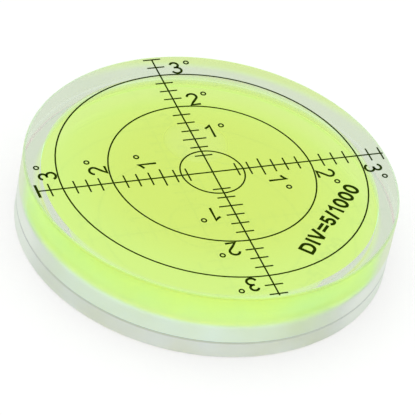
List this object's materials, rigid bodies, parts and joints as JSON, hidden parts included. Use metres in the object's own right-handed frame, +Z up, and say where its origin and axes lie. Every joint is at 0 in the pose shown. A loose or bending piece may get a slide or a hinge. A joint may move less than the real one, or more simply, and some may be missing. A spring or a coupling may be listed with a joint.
{
  "type": "bullseye level",
  "caption": "Round bullseye level: a clear disc vial with a domed ceiling, tinted filling, flat bubble and a printed cross scale, closed by a plugged-in base plate.",
  "frame": {"origin": "centre of the underside of the base plate", "axes": "+Z up along the level's axis, +X and +Y along two neighbouring arms of the printed cross"},
  "size_m": [0.06, 0.06, 0.0121],
  "materials": {
    "vial_body": "polished, clear",
    "base_plate": "polished, clear",
    "liquid_fill": "clear tinted liquid",
    "air_bubble": "gas",
    "scale_print": "matte ink"
  },
  "bodies": {
    "root": {"vial_body": "vial_body", "base_plate": "base_plate", "liquid_fill": "liquid_fill", "air_bubble": "air_bubble", "scale_print": "scale_print"}
  },
  "joints": []
}
